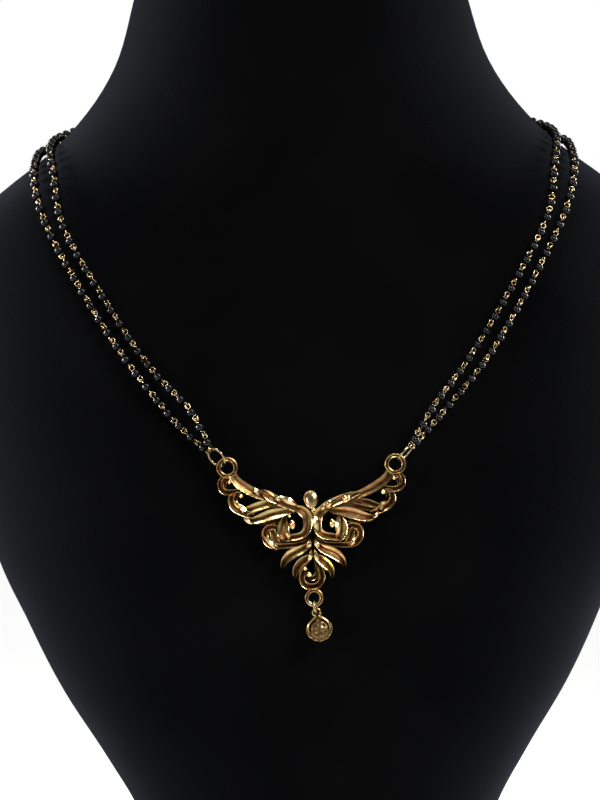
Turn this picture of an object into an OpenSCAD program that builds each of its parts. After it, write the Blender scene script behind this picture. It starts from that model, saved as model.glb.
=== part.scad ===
// Mangalsutra: two strands of black beads on gold eye pins each side of a cast gold
// pendant with a small round drop, worn by a plain black neck bust that stands on its base.
// Millimetres, +Z up, the front faces -Y and the origin is the middle of the base.

/* [Neck bust] */
// Height of the bust
bust_h = 259; // [240:1:290]
// Widest half width, across the shoulders
bust_w = 99; // [90:1:110]
// Greatest depth of the chest in front of the origin
chest_depth = 52; // [46:1:60]
// Greatest depth of the neck behind the origin
nape_depth = 47.5; // [42:1:54]

/* [Strands] */
// Length of one repeat: a bead and its pair of eyes
pitch = 4.65; // [4.5:0.05:4.9]
// Bead diameter
bead_d = 2.8; // [2.4:0.05:3]
// Wire of the eye pins
eye_wire = 0.38; // [0.34:0.02:0.42]
// Inside diameter of an eye
eye_hole = 1.02; // [1:0.02:1.1]
// Diameter of the straight stem through a bead
stem_d = 0.34; // [0.24:0.02:0.36]
// Repeats of each strand from the pendant to just behind the shoulder
front_repeats = 26; // [20:1:28]
// Turn of each eye pin from the one before it, in degrees
pin_turn = 96; // [84:1:100]
// Thickness of the plain strand behind the neck
back_strand_d = 2.2; // [1.6:0.1:2.6]

/* [Pendant] */
// Distance between the middles of the two side eyelets
pendant_span = 45.4; // [40:0.2:52]
// Height from the side eyelets down to the lower eyelet
pendant_drop = 35.6; // [33:0.2:40]
// Height of the side eyelets above the base
pendant_z = 117.3; // [112:0.1:122]
// Thickness of the cast plate at its raised rims
plate_t = 1.7; // [1.4:0.1:2.2]
// Depth of the groove cut along each leaf
groove = 0.7; // [0.3:0.05:0.8]
// Width of a leaf or scroll where its share is 1
leaf_w = 2.5; // [2.2:0.1:2.8]
// Outside diameter of the side eyelets
side_eye_d = 5.9; // [5.4:0.1:6.2]
// Hole of the side eyelets
side_eye_hole = 3.3; // [3.1:0.1:3.5]
// Outside diameter of the lower eyelet
low_eye_d = 5.1; // [4.9:0.1:5.4]
// Hole of the lower eyelet
low_eye_hole = 2.9; // [2.8:0.1:3.1]
// Thickness of all three eyelets
eyelet_t = 1; // [0.8:0.05:1.1]
// Length of the teardrop head above the middle
head_l = 5.6; // [5:0.1:6.2]
// Width of the teardrop head
head_w = 3.7; // [3.2:0.1:4]

/* [Rings] */
// Middle-line diameter of the jump rings beside the pendant
jump_ring_d = 5.7; // [5.6:0.05:5.9]
// Wire of the jump rings
jump_wire = 0.66; // [0.58:0.02:0.68]
// How far the left jump ring is turned from facing the front, in degrees
left_ring_turn = 53; // [52:1:70]
// How far the right jump ring is turned from facing the front, in degrees
right_ring_turn = 76; // [60:1:84]
// Middle-line diameter of the ring that carries the drop
drop_ring_d = 3.3; // [3.2:0.05:3.5]
// Wire of the ring that carries the drop
drop_wire = 0.8; // [0.6:0.02:0.84]

/* [Drop] */
// Diameter of the round drop
drop_d = 7.2; // [6:0.1:8.4]
// Thickness of the drop's plate
drop_t = 1.5; // [1.1:0.1:2]
// Height of its domed middle above the plate
dome_h = 1; // [0.6:0.1:1.4]
// Grains round its rim
grains = 30; // [20:1:36]
// How far the drop has swung to the right, in degrees
drop_swing = 8; // [0:1:12]

/* [Clasp] */
// Length of the barrel of the clasp
clasp_l = 9; // [7:0.5:12]
// Diameter of the barrel
clasp_d = 3; // [2.4:0.1:3.4]
// Middle-line diameter of the end rings
end_ring_d = 3; // [2.9:0.05:3.2]
// Wire of the end rings and of the clasp's eyes
end_wire = 0.66; // [0.5:0.02:0.68]

/* [Fits] */
// Gap between the strands and the bust
rest_gap = 0.4; // [0.35:0.05:0.6]
// Gap between wires that are linked
link_gap = 0.18; // [0.16:0.01:0.2]
// Gap between the end of a bead and the eyes beside it
bead_gap = 0.1; // [0.1:0.01:0.14]
// Gap between the pendant's back and the middle of the chest
pendant_gap = 2.5; // [2.4:0.1:3]

/* [Hidden] */
sides = ["left", "right"];
strands = ["inner", "outer"];
strand_names = [for (s = sides, k = strands) str(s, "_", k)];

gold = [0.83, 0.62, 0.25];
bead_black = [0.05, 0.05, 0.06];
velvet_black = [0.09, 0.09, 0.10];

// Sections of the bust from the base up. Height is a share of bust_h, width of bust_w,
// front of chest_depth and back of nape_depth.
// [height, width, front, back]
bust_sections = [
    [0.000, 0.470, 0.71, 0.67],
    [0.062, 0.500, 0.72, 0.66],
    [0.125, 0.590, 0.77, 0.65],
    [0.208, 0.725, 0.86, 0.65],
    [0.292, 0.830, 0.94, 0.66],
    [0.354, 0.905, 0.98, 0.67],
    [0.417, 0.950, 1.00, 0.68],
    [0.500, 0.985, 1.00, 0.70],
    [0.594, 1.000, 0.98, 0.74],
    [0.667, 0.990, 0.955, 0.80],
    [0.719, 0.955, 0.93, 0.86],
    [0.750, 0.900, 0.90, 0.905],
    [0.781, 0.785, 0.86, 0.95],
    [0.813, 0.685, 0.82, 0.985],
    [0.854, 0.595, 0.775, 1.00],
    [0.896, 0.531, 0.745, 0.99],
    [0.938, 0.497, 0.73, 0.97],
    [0.985, 0.467, 0.71, 0.93],
    [1.000, 0.430, 0.655, 0.86]
];
bust_rings = 42;
bust_sides = 44;
bust_edge = 2.2;

// Course of the strands over the bust, from the pendant to the clasp.
// [turn round the bust from its front in degrees, height as a share of bust_h]
inner_course = [
    [25.7, 0.562], [33.5, 0.631], [43.5, 0.7095], [54, 0.763],
    [73, 0.7955], [95, 0.814], [120, 0.834], [146, 0.852]
];
outer_course = [
    [28.9, 0.562], [36.9, 0.631], [46.8, 0.706], [55.8, 0.750],
    [73, 0.781], [94, 0.800], [120, 0.819], [146, 0.838]
];
courses = [inner_course, outer_course];
clasp_height = 0.857;

// Vector helpers
function unit(v) = v / norm(v);
function side_sign(side) = side == "left" ? -1 : 1;

// A smooth curve through points: the value at place q, counted in points from the first
function on_curve(p, q) =
    let (
        n = len(p) - 1,
        i = min(floor(q), n - 1),
        f = q - i,
        a = p[i],
        b = p[i + 1],
        ta = i > 0 ? (b - p[i - 1]) / 2 : b - a,
        tb = i < n - 1 ? (p[i + 2] - a) / 2 : b - a
    )
    a * (1 + 2 * f) * (1 - f) * (1 - f) + ta * f * (1 - f) * (1 - f)
    + b * f * f * (3 - 2 * f) - tb * f * f * (1 - f);

function curve_points(p, steps) = [for (k = [0:steps * (len(p) - 1)]) on_curve(p, k / steps)];

// Running length along a list of points, one value for each point
function running_length(p) = [
    for (i = 0, s = 0; i < len(p); s = i + 1 < len(p) ? s + norm(p[i + 1] - p[i]) : s, i = i + 1) s
];

// Faces of a closed skin over rings of points that all have the same number of points
function skin_faces(rings, around) = concat(
    [[for (j = [0:around - 1]) j]],
    [for (i = [0:rings - 2], j = [0:around - 1], h = [0:1])
        let (k = (j + 1) % around, a = i * around, b = a + around)
        h == 0 ? [a + j, b + k, a + k] : [a + j, b + j, b + k]],
    [[for (j = [around - 1:-1:0]) (rings - 1) * around + j]]
);

// Neck bust
heights = [for (row = bust_sections) row[0]];
function section_place(h) =
    let (i = max([for (k = [0:len(heights) - 2]) if (h >= heights[k]) k]))
    i + (h - heights[i]) / (heights[i + 1] - heights[i]);
function bust_size(h) =
    let (row = on_curve(bust_sections, section_place(h)))
    [row[1] * bust_w, row[2] * chest_depth, row[3] * nape_depth];
function bust_point(turn, h, out = 0) =
    let (s = bust_size(h), depth = cos(turn) > 0 ? s[1] : s[2])
    [(s[0] + out) * sin(turn), -(depth + out) * cos(turn), h * bust_h];
function bust_normal(turn, h) =
    let (
        across = bust_point(turn + 1, h) - bust_point(turn - 1, h),
        up = bust_point(turn, h + 0.004) - bust_point(turn, h - 0.004)
    )
    unit(cross(across, up));
function off_bust(turn, h, out) = bust_point(turn, h) + bust_normal(turn, h) * out;

module neck_bust() {
    ring_heights = [for (i = [0:bust_rings - 1]) i / (bust_rings - 1)];
    foot = [for (j = [0:bust_sides - 1]) bust_point(j * 360 / bust_sides, 0, -bust_edge)];
    wall = [
        for (h = ring_heights, j = [0:bust_sides - 1])
            bust_point(j * 360 / bust_sides, h) + [0, 0, h == 0 ? bust_edge : 0]
    ];
    color(velvet_black)
        polyhedron(
            points = concat(foot, wall),
            faces = skin_faces(bust_rings + 1, bust_sides),
            convexity = 6
        );
}

// Pendant. Its own frame has X across, Y up from the side eyelets and Z out from the back.
pendant_y = -(chest_depth + pendant_gap);
module on_pendant() {
    translate([0, pendant_y, pendant_z])
        rotate([90, 0, 0])
            children();
}
function from_pendant(p) = [p[0], pendant_y - p[2], pendant_z + p[1]];

// A leaf or scroll follows a smooth line. Its section has a flat back, two thin raised rims
// and a groove between them. A groove below zero stands up as a ridge.
rim_w = 0.26;
rim_edge = 0.4;
function leaf_section(w, top, cut) =
    let (half = w / 2, rim = min(rim_w, half * 0.45), floor_z = top - min(cut, half * 0.8))
    [
        [-half, 0], [-half, top - rim_edge], [-half + rim, top], [0, floor_z],
        [half - rim, top], [half, top - rim_edge], [half, 0]
    ];

module leaf(line, widths, top, cut, steps = 2) {
    p = curve_points(line, steps);
    w = curve_points(widths, steps * (len(line) - 1) / (len(widths) - 1));
    n = len(p);
    points = [
        for (i = [0:n - 1])
            let (
                ahead = unit(p[min(i + 1, n - 1)] - p[max(i - 1, 0)]),
                across = [ahead[1], -ahead[0]]
            )
            for (c = leaf_section(w[i], top, cut)) [
                p[i][0] + across[0] * c[0],
                p[i][1] + across[1] * c[0],
                c[1]
            ]
    ];
    polyhedron(points = points, faces = skin_faces(n, 7), convexity = 8);
}

// Leaves and scrolls of the left half, their lines from root to tip. Places are shares of half
// the span across and of the drop down. Widths are shares of leaf_w and tops of plate_t.
// [[places], [widths], top, groove as a share, which side: 0 both, -1 left, 1 right]
leaves = [
    // Top bar: long leaf from the eyelet, then shorter ones that lap over it
    [[[-0.945, 0.052], [-0.875, 0.115], [-0.77, 0.158], [-0.60, 0.211]],
        [0.92, 1.10, 1.06, 0.45], 1.00, 1, -1],
    [[[-0.945, 0.052], [-0.875, 0.115], [-0.74, 0.165], [-0.50, 0.222], [-0.27, 0.285]],
        [0.92, 1.0, 0.96, 0.9, 0.6], 1.00, 1, 1],
    [[[-0.66, 0.205], [-0.50, 0.242], [-0.32, 0.288], [-0.12, 0.350]], [0.5, 1.2, 1.25, 0.9], 0.74, 0.3, 0],
    [[[-0.585, 0.196], [-0.50, 0.222], [-0.385, 0.268]], [0.4, 0.9, 0.26], 1.16, 1, -1],
    [[[-0.455, 0.217], [-0.405, 0.236], [-0.350, 0.270]], [0.25, 0.64, 0.2], 1.24, -0.5, -1],
    [[[-0.375, 0.232], [-0.255, 0.264], [-0.10, 0.335]], [0.3, 0.92, 0.6], 1.2, 0.6, -1],
    [[[-0.33, 0.240], [-0.235, 0.272], [-0.10, 0.335]], [0.35, 0.7, 0.6], 1.16, -0.5, 1],
    // Column beside the middle, turning out round the opening to the bud
    [[[-0.175, 0.302], [-0.086, 0.338], [-0.043, 0.405], [-0.050, 0.470], [-0.110, 0.526],
        [-0.22, 0.546], [-0.32, 0.530]],
        [0.6, 0.84, 0.88, 0.86, 0.84, 0.84, 0.6], 1.06, 1, 0],
    // Plate behind the head, between the columns
    [[[0, 0.310], [0, 0.440]], [0.5, 0.9], 0.6, 0, 1],
    // Lower arm, running out to the outer scroll
    [[[-0.025, 0.535], [-0.13, 0.567], [-0.25, 0.590], [-0.37, 0.600]], [0.6, 0.8, 0.8, 0.7], 0.92, 0.9, 0],
    // Outer lower scroll
    [[[-0.33, 0.596], [-0.43, 0.590], [-0.53, 0.557], [-0.567, 0.500], [-0.53, 0.455],
        [-0.46, 0.450], [-0.425, 0.485]],
        [0.7, 0.64, 0.6, 0.56, 0.56, 0.52, 0.36], 0.96, 1, 0],
    [[[-0.415, 0.480], [-0.435, 0.530], [-0.375, 0.585]], [0.34, 0.46, 0.44], 0.86, 0.6, 0],
    // Its cut blade
    [[[-0.592, 0.505], [-0.52, 0.565], [-0.402, 0.628]], [0.12, 0.66, 0.14], 1.16, -0.5, 0],
    // Bud
    [[[-0.310, 0.358], [-0.345, 0.470], [-0.285, 0.590]], [0.5, 1.5, 0.18], 1.28, 0.9, 0],
    [[[-0.375, 0.44], [-0.395, 0.520], [-0.340, 0.592]], [0.5, 0.66, 0.3], 1.02, 0.6, 0],
    // Wing feathers, and the plate behind their roots
    [[[-0.22, 0.345], [-0.42, 0.345], [-0.58, 0.378], [-0.745, 0.402]], [0.6, 1.2, 1.1, 0.5], 1.04, 1, 0],
    [[[-0.42, 0.270], [-0.60, 0.296], [-0.80, 0.345]], [0.6, 1.06, 0.66], 1.0, 1, 0],
    [[[-0.20, 0.330], [-0.38, 0.330], [-0.50, 0.392]], [0.9, 1.5, 0.5], 0.5, 0, 0],
    [[[-0.80, 0.362], [-0.755, 0.392], [-0.665, 0.420]], [0.2, 0.5, 0.3], 1.16, -0.4, 0],
    // Second scroll and the small scroll under the eyelet
    [[[-0.885, 0.190], [-0.945, 0.206], [-0.958, 0.262], [-0.905, 0.315], [-0.80, 0.356], [-0.70, 0.385]],
        [0.5, 0.62, 0.66, 0.70, 0.76, 0.6], 0.98, 1, 0],
    [[[-0.985, 0.066], [-1.060, 0.088], [-1.090, 0.138], [-1.045, 0.186], [-0.955, 0.196], [-0.865, 0.168]],
        [0.5, 0.52, 0.56, 0.56, 0.54, 0.5], 0.9, 1, 0],
    // Lower leaves
    [[[-0.03, 0.570], [-0.167, 0.628], [-0.298, 0.692], [-0.378, 0.783]],
        [0.7, 1.06, 0.98, 0.12], 1.12, 1, 0],
    [[[-0.015, 0.632], [-0.106, 0.704], [-0.187, 0.776], [-0.220, 0.852]],
        [0.6, 1.02, 0.88, 0.12], 1.2, 1, 0],
    // Stem between the lower leaves and the bottom scroll
    [[[-0.03, 0.54], [-0.050, 0.60], [-0.035, 0.66], [-0.018, 0.71]], [0.6, 0.66, 0.6, 0.4], 0.98, 0.8, 0]
];

// Bottom scroll: a ring that opens at the top, with a curl inside it
bottom_scroll = [
    [[[-0.080, 0.765], [-0.136, 0.808], [-0.136, 0.868], [-0.065, 0.916], [0.035, 0.916],
        [0.108, 0.868], [0.114, 0.806], [0.075, 0.745], [0.030, 0.68]],
        [0.4, 0.5, 0.54, 0.58, 0.58, 0.58, 0.6, 0.56, 0.4], 0.96, 1],
    [[[0.048, 0.70], [0.058, 0.790], [-0.004, 0.842]], [0.3, 0.56, 0.3], 1.08, -0.3]
];

// Round grains that end the scrolls, left half
// [place across, place down, radius as a share of leaf_w]
curl_balls = [
    [-1.005, 0.092, 0.28],
    [-0.870, 0.206, 0.30],
    [-0.250, 0.438, 0.50],
    [-0.410, 0.476, 0.32]
];

// One more ends the bottom scroll, and one sits on the right bar
scroll_ball = [-0.070, 0.788, 0.34];
bar_ball = [0.375, 0.258, 0.40];
balls = concat([for (b = curl_balls, s = [-1, 1]) [s * b[0], b[1], b[2]]], [scroll_ball, bar_ball]);

function pendant_place(p) = [p[0] * pendant_span / 2, -p[1] * pendant_drop];

module pendant_leaf(row) {
    line = [for (p = row[0]) pendant_place(p)];
    widths = [for (w = row[1]) w * leaf_w];
    leaf(line, widths, row[2] * plate_t, row[3] * groove);
}

ball_foot = 0.8;
ball_top = 1.05;
ball_sink = 0.3;
module curl_ball(row) {
    r = row[2] * leaf_w;
    hull()
        for (k = [0, 1])
            translate([each pendant_place(row), k * (plate_t * ball_top - r * ball_sink)])
                sphere(r = k == 0 ? r * ball_foot : r, $fn = 10);
}

// Eyelet: a flat ring with a groove between two raised rims
eyelet_edge = 0.25;
eyelet_rim = 0.2;
eyelet_dip = 0.1;
module eyelet(place, d, hole) {
    translate(pendant_place(place))
        rotate_extrude($fn = 24)
            polygon([
                [hole / 2, eyelet_edge], [hole / 2, eyelet_t - eyelet_edge],
                [hole / 2 + eyelet_edge, eyelet_t + eyelet_rim], [(hole + d) / 4, eyelet_t - eyelet_dip],
                [d / 2 - eyelet_edge, eyelet_t + eyelet_rim], [d / 2, eyelet_t],
                [d / 2, eyelet_edge], [d / 2 - eyelet_edge, 0], [hole / 2 + eyelet_edge, 0]
            ]);
}

// Teardrop head above the middle, its round end up
head_top = 0.1985;
head_crown = 1.1;
head_bulge = 0.85;
head_lift = 0.9;
head_tip = 0.9;
module head() {
    top = -head_top * pendant_drop;
    hull() {
        translate([0, top - head_crown * head_w / 2, head_lift])
            scale([1, head_crown, head_bulge])
                sphere(d = head_w, $fn = 16);
        translate([0, top - head_l + head_tip / 2, head_tip / 2])
            cylinder(d = head_tip, h = head_tip, $fn = 8);
    }
}

module pendant() {
    color(gold)
        on_pendant()
            union() {
                for (row = leaves) {
                    if (row[4] <= 0)
                        pendant_leaf(row);
                    if (row[4] >= 0)
                        mirror([1, 0, 0])
                            pendant_leaf(row);
                }
                for (row = bottom_scroll)
                    pendant_leaf(row);
                for (row = balls)
                    curl_ball(row);
                for (x = [-1, 1])
                    eyelet([x, 0], side_eye_d, side_eye_hole);
                eyelet([0, 1], low_eye_d, low_eye_hole);
                head();
            }
}

// Wire rings
module wire_ring(d, wire) {
    rotate_extrude($fn = 48)
        translate([d / 2, 0])
            circle(d = wire, $fn = 24);
}

// Places a shape whose own X, Y and Z run along three given directions
module in_frame(origin, x, y, z) {
    multmatrix([
        [x[0], y[0], z[0], origin[0]],
        [x[1], y[1], z[1], origin[1]],
        [x[2], y[2], z[2], origin[2]],
        [0, 0, 0, 1]
    ])
        children();
}

// Jump rings. Each passes through its eyelet and leans from it towards the strands: so many
// degrees round in the pendant's plane, and so many back towards the chest.
ring_lean = 134;
ring_lean_back = 5;
function ring_turn(side) = side == "left" ? left_ring_turn : right_ring_turn;
function ring_out(side) = [
    -side_sign(side) * cos(ring_lean) * cos(ring_lean_back),
    sin(ring_lean_back),
    sin(ring_lean) * cos(ring_lean_back)
];
function ring_cross(side) =
    let (
        s = side_sign(side),
        flat_way = [-s * sin(ring_lean), 0, -cos(ring_lean)],
        front_way = s * cross(ring_out(side), flat_way)
    )
    flat_way * cos(ring_turn(side)) + front_way * sin(ring_turn(side));
function eyelet_middle(side) = from_pendant([side_sign(side) * pendant_span / 2, 0, eyelet_t / 2]);
ring_reach = side_eye_hole / 2 - link_gap - jump_wire / 2 + jump_ring_d / 2;
function ring_middle(side) = eyelet_middle(side) + ring_out(side) * ring_reach;
function ring_spot(side, turn) = ring_out(side) * cos(turn) + ring_cross(side) * sin(turn);

module jump_ring(side) {
    out = ring_out(side);
    over = ring_cross(side);
    color(gold)
        in_frame(ring_middle(side), out, over, cross(out, over))
            wire_ring(jump_ring_d, jump_wire);
}

// Drop and its ring, in a frame at the lower eyelet that has swung to one side
drop_ring_turn = 78;
drop_ring_top = -low_eye_hole / 2 + drop_wire / 2 + link_gap;
drop_ring_middle = drop_ring_top - drop_ring_d / 2;
drop_ring_low = drop_ring_middle - drop_ring_d / 2;
module in_drop_frame() {
    on_pendant()
        translate([0, -pendant_drop, eyelet_t / 2])
            rotate(drop_swing)
                children();
}

module drop_ring() {
    color(gold)
        in_drop_frame()
            translate([0, drop_ring_middle, 0])
                rotate([0, drop_ring_turn, 0])
                    wire_ring(drop_ring_d, drop_wire);
}

// The drop is a round plate with a notched rim, a domed middle and a lug for its ring
lug_wire = 0.62;
lug_room = 0.3;
lug_d = drop_wire + 2 * link_gap + lug_room + lug_wire;
drop_edge = 0.3;
drop_dish = 0.35;
notch_d = 0.5;
notch_out = 0.12;
lug_y = drop_ring_low - drop_wire / 2 - link_gap - lug_wire / 2 + lug_d / 2;
drop_y = lug_y - lug_d / 2 + drop_edge - drop_d / 2;
dome_half = drop_d / 2 - 2.4 * drop_edge;
dome_r = (dome_half * dome_half + dome_h * dome_h) / (2 * dome_h);

module drop_plate() {
    r = drop_d / 2;
    translate([0, 0, -drop_t / 2])
        rotate_extrude($fn = 48)
            polygon([
                [0, 0], [r - drop_edge, 0], [r, drop_edge], [r, drop_t - drop_edge],
                [r - drop_edge, drop_t], [r - 2 * drop_edge, drop_t],
                [r - 3 * drop_edge, drop_t - drop_dish], [0, drop_t - drop_dish]
            ]);
}

module drop_dome() {
    intersection() {
        translate([0, 0, drop_t / 2 - drop_dish - drop_edge])
            cylinder(r = dome_half, h = drop_dish + drop_edge + dome_h, $fn = 48);
        translate([0, 0, drop_t / 2 + dome_h - dome_r])
            sphere(r = dome_r, $fn = 48);
    }
}

module drop() {
    color(gold)
        in_drop_frame()
            difference() {
                union() {
                    translate([0, lug_y, 0])
                        wire_ring(lug_d, lug_wire);
                    translate([0, drop_y, 0]) {
                        drop_plate();
                        drop_dome();
                    }
                }
                for (k = [0:grains - 1])
                    translate([0, drop_y, 0])
                        rotate(90 + 360 * (k + 0.5) / grains)
                            translate([drop_d / 2 + notch_out, 0, -drop_t])
                                cylinder(d = notch_d, h = 2 * drop_t, $fn = 16);
            }
}

// Strands. One repeat is an eye pin, with an eye at each end, and the bead on its stem.
eye_d = eye_hole + eye_wire;
eye_overlap = eye_d - eye_wire - link_gap;
eye_span = pitch - eye_overlap;
bead_l = eye_span - eye_d - eye_wire - 2 * bead_gap;
bead_hole = stem_d + 2 * link_gap;

module bead() {
    rotate_extrude($fn = 32)
        intersection() {
            translate([bead_d / 2 - bead_l / 2, 0])
                circle(d = bead_l, $fn = 32);
            translate([bead_hole / 2, -bead_l])
                square([bead_d, 2 * bead_l]);
        }
}

module eye_pin() {
    for (end = [-1, 1])
        translate([0, 0, end * eye_span / 2])
            rotate([90, 0, 0])
                wire_ring(eye_d, eye_wire);
    translate([0, 0, -(eye_span - eye_d) / 2])
        cylinder(d = stem_d, h = eye_span - eye_d, $fn = 24);
}

// Clasp and end rings, behind the neck
clasp_edge = 0.5;
clasp_eye_sink = 0.1;
end_ring_play = 0.2;
end_spread = 42;
clasp_y = bust_point(180, clasp_height)[1] + 2 * rest_gap + clasp_d / 2;
clasp_middle = [0, clasp_y, clasp_height * bust_h];
clasp_eye_d = 3 * end_wire + 2 * link_gap;
clasp_eye_x = clasp_l / 2 + clasp_eye_d / 2 - clasp_eye_sink;
end_ring_x = clasp_eye_x + end_ring_d / 2 + end_ring_play;
function end_ring_middle(side) = clasp_middle + [side_sign(side) * end_ring_x, 0, 0];
function end_ring_out(side, k) =
    let (a = (k == 0 ? 1 : -1) * end_spread)
    [side_sign(side) * cos(a), 0, sin(a)];

module clasp() {
    r = clasp_d / 2;
    h = clasp_l / 2;
    color(gold)
        translate(clasp_middle) {
            rotate([0, 90, 0])
                rotate_extrude($fn = 32)
                    polygon([
                        [0, -h], [r - clasp_edge, -h], [r, clasp_edge - h],
                        [r, h - clasp_edge], [r - clasp_edge, h], [0, h]
                    ]);
            for (x = [-1, 1])
                translate([x * clasp_eye_x, 0, 0])
                    wire_ring(clasp_eye_d, end_wire);
        }
}

module end_ring(side) {
    color(gold)
        translate(end_ring_middle(side))
            rotate([90, 0, 0])
                wire_ring(end_ring_d, end_wire);
}

// Line of a strand: from the jump ring, over the bust, to the end ring
ring_spots = [20, -17];
lead_out = 1.4;
strand_out = bead_d / 2 + rest_gap;
function ring_tangent(side, k) =
    cross(cross(ring_out(side), ring_cross(side)), ring_spot(side, ring_spots[k]));
function strand_line(side, k) =
    let (
        s = side_sign(side),
        start = ring_middle(side) + ring_spot(side, ring_spots[k]) * jump_ring_d / 2,
        course = [
            for (c = courses[k])
                off_bust(s * c[0], c[1], strand_out + (c == courses[k][0] ? lead_out : 0))
        ],
        pull = course[0] - start,
        wire_way = ring_tangent(side, k),
        away = unit(pull - wire_way * (wire_way * pull)),
        second = start + away * eye_span,
        third = second + unit(away * 2 + unit(pull)) * pitch,
        fourth = third + unit(away + unit(pull) * 2) * pitch,
        finish = end_ring_middle(side) + end_ring_out(side, k) * end_ring_d / 2
    )
    concat(
        [start, second, third, fourth],
        course,
        [finish]
    );
route_steps = 14;
function strand_curve(side, k) = curve_points(strand_line(side, k), route_steps);

// A table of [length along the strand, x, y, z], for looking up a place by its length
function strand_table(side, k) =
    let (p = strand_curve(side, k), s = running_length(p))
    [for (i = [0:len(p) - 1]) [s[i], p[i][0], p[i][1], p[i][2]]];
function place_at(table, s) = [
    for (axis = [1:3]) lookup(s, [for (row = table) [row[0], row[axis]]])
];

// Frame of each repeat: [middle, across, over, along]
function away_from_bust(p, along) =
    let (out = unit([p[0], p[1], 0]))
    unit(out - along * (out * along));
function repeat_frames(side, k) =
    let (
        table = strand_table(side, k),
        ring_along = ring_tangent(side, k),
        ends = [for (i = [0:front_repeats - 1], e = [0, 1]) place_at(table, i * pitch + e * eye_span)],
        along0 = unit(ends[1] - ends[0]),
        out0 = away_from_bust((ends[0] + ends[1]) / 2, along0),
        turn0 = atan2(ring_along * out0, ring_along * cross(along0, out0))
    )
    [
        for (i = [0:front_repeats - 1])
            let (
                a = ends[2 * i],
                b = ends[2 * i + 1],
                along = unit(b - a),
                out = away_from_bust((a + b) / 2, along),
                side_way = cross(along, out),
                turn = turn0 + i * pin_turn,
                over = out * sin(turn) + side_way * cos(turn)
            )
            [(a + b) / 2, cross(over, along), over, along]
    ];

module strand_beads(side, k) {
    color(bead_black)
        for (f = repeat_frames(side, k))
            in_frame(f[0], f[1], f[2], f[3])
                bead();
}

module strand_eye_pins(side, k) {
    color(gold)
        for (f = repeat_frames(side, k))
            in_frame(f[0], f[1], f[2], f[3])
                eye_pin();
}

// The hidden stretch behind the neck is a plain round strand
back_sides = 8;
back_step = 5.5;
module back_strand(side, k) {
    table = strand_table(side, k);
    first = (front_repeats - 1) * pitch + eye_span + eye_d / 2 + eye_wire / 2 + rest_gap;
    last = table[len(table) - 1][0] - end_wire / 2 - 2 * rest_gap;
    count = ceil((last - first) / back_step);
    rings = [
        for (i = [0:count])
            let (
                s = first + (last - first) * i / count,
                p = place_at(table, s),
                along = unit(place_at(table, s + 0.5) - place_at(table, s - 0.5)),
                out = away_from_bust(p, along),
                side_way = cross(along, out)
            )
            for (j = [0:back_sides - 1])
                let (a = j * 360 / back_sides)
                p + (out * cos(a) + side_way * sin(a)) * back_strand_d / 2
    ];
    color(bead_black)
        polyhedron(points = rings, faces = skin_faces(count + 1, back_sides), convexity = 4);
}

neck_bust();
pendant();
drop_ring();
drop();
clasp();
for (s = sides) {
    jump_ring(s);
    end_ring(s);
    for (k = [0, 1]) {
        name = str(s, "_", strands[k]);
        strand_beads(s, k);
        strand_eye_pins(s, k);
        back_strand(s, k);
    }
}
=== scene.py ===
import math

import bmesh
import bpy
import numpy as np
from mathutils import Matrix, Vector


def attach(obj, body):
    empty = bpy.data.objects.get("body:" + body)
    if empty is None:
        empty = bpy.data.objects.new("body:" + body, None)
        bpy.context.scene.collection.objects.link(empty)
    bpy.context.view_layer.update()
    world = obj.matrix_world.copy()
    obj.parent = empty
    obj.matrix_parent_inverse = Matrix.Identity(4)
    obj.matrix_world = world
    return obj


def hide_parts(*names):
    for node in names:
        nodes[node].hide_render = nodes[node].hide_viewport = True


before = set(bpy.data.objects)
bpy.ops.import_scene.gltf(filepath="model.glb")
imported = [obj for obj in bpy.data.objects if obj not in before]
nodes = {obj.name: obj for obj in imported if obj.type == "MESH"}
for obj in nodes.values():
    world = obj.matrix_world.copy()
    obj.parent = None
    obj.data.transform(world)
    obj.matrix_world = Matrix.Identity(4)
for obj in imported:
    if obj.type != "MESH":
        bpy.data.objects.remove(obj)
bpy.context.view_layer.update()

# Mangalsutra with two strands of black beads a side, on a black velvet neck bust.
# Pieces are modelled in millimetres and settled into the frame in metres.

MM = 0.001


# Camera, at the photograph's angle: level, one metre in front of the pendant, rolled a little.
# The view's height and middle are taken in the pendant's plane.
PENDANT_Y = -54.5
PENDANT_Z = 117.3
VIEW_DISTANCE = 1000
VIEW_HEIGHT = 216
VIEW_MIDDLE = (-2.6, 135.1)
VIEW_ROLL = 1.3

camera = bpy.data.objects.new("camera", bpy.data.cameras.new("camera"))
bpy.context.scene.collection.objects.link(camera)
bpy.context.scene.camera = camera
camera.location = Vector((VIEW_MIDDLE[0], PENDANT_Y - VIEW_DISTANCE, VIEW_MIDDLE[1])) * MM
camera.rotation_euler = (math.pi / 2, math.radians(VIEW_ROLL), 0)
camera.data.lens = camera.data.sensor_width * VIEW_DISTANCE / VIEW_HEIGHT
camera.data.clip_start = 0.05


# Selecting and shaping
def only(*pieces):
    """Selects these pieces alone, the first one active."""
    bpy.ops.object.select_all(action="DESELECT")
    for piece in pieces:
        piece.select_set(True)
    bpy.context.view_layer.objects.active = pieces[0]


def added(name):
    """The primitive that was just added, under its name."""
    piece = bpy.context.object
    piece.name = piece.data.name = name
    return piece


def open_mesh(piece):
    """Goes into edit mode on a piece, with everything selected."""
    only(piece)
    bpy.ops.object.mode_set(mode="EDIT")
    bpy.ops.mesh.select_mode(type="VERT")
    bpy.ops.mesh.select_all(action="SELECT")


def close_mesh():
    """Leaves edit mode."""
    bpy.ops.object.mode_set(mode="OBJECT")


def pick(piece, passes):
    """In edit mode, selects the vertices whose place passes, with the faces between them."""
    mesh = bmesh.from_edit_mesh(piece.data)
    for vertex in mesh.verts:
        vertex.select = passes(vertex.co)
    mesh.select_flush_mode()
    bmesh.update_edit_mesh(piece.data)


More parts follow.
